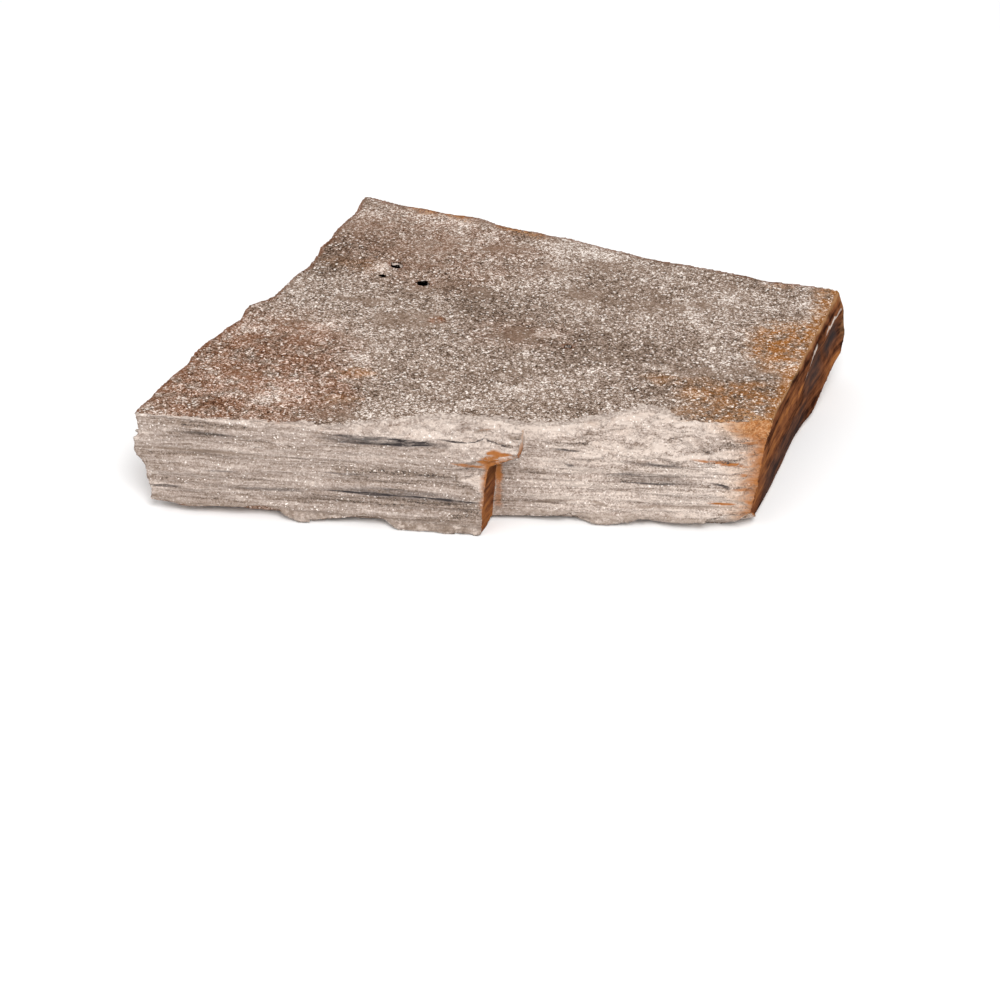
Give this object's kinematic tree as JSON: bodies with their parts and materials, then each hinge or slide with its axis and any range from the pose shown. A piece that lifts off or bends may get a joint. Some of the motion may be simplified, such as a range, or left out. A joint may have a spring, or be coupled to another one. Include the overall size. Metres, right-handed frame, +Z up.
{
  "type": "flagstone",
  "caption": "Irregular paving slab of layered quartz-mica schist, split flat on both faces, with rough broken edges, a stepped front and a rust-stained joint face.",
  "frame": {"origin": "middle of the bounding box's underside, on the face that the stone rests on", "axes": "+X along the long way of the slab, from the broken left end to the rust-stained joint face; +Y from the stepped front to the back edge; +Z up, square to the bedding"},
  "size_m": [0.3544, 0.2694, 0.054],
  "materials": {
    "schist": "rough cleft quartz-mica schist: grey-brown speckled bedding face, pale grey fresh breaks with dark bedding lines, rust-brown joint faces"
  },
  "bodies": {
    "root": {"flagstone": "schist"}
  },
  "joints": []
}
